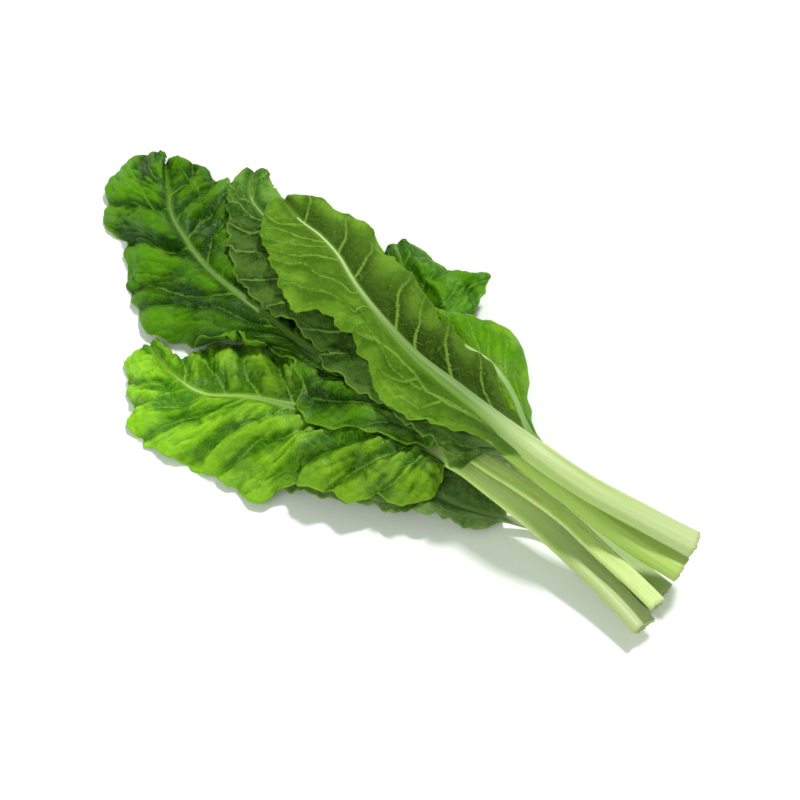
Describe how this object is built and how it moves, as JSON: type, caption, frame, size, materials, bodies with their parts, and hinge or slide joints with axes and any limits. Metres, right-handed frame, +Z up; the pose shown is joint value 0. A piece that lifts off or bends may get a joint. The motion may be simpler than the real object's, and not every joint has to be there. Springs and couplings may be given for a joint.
{
  "type": "swiss chard bunch",
  "caption": "Loose bunch of fresh Swiss chard lying on its side, with crinkled green blades and pale green stalks fanned out to their cut ends.",
  "frame": {"origin": "centre of the bounding box at the level of the surface that the bunch lies on", "axes": "+X along the stalks towards their cut ends, +Y across the bunch, +Z up"},
  "size_m": [0.4735, 0.2201, 0.0658],
  "materials": {
    "stalk": "satin",
    "blade": "satin"
  },
  "bodies": {
    "root": {"under_leaf_stalk": "stalk", "under_leaf_blade": "blade", "back_leaf_stalk": "stalk", "back_leaf_blade": "blade", "right_leaf_stalk": "stalk", "right_leaf_blade": "blade", "lower_left_leaf_stalk": "stalk", "lower_left_leaf_blade": "blade", "upper_left_leaf_stalk": "stalk", "upper_left_leaf_blade": "blade", "middle_leaf_stalk": "stalk", "middle_leaf_blade": "blade", "top_leaf_stalk": "stalk", "top_leaf_blade": "blade"}
  },
  "joints": []
}
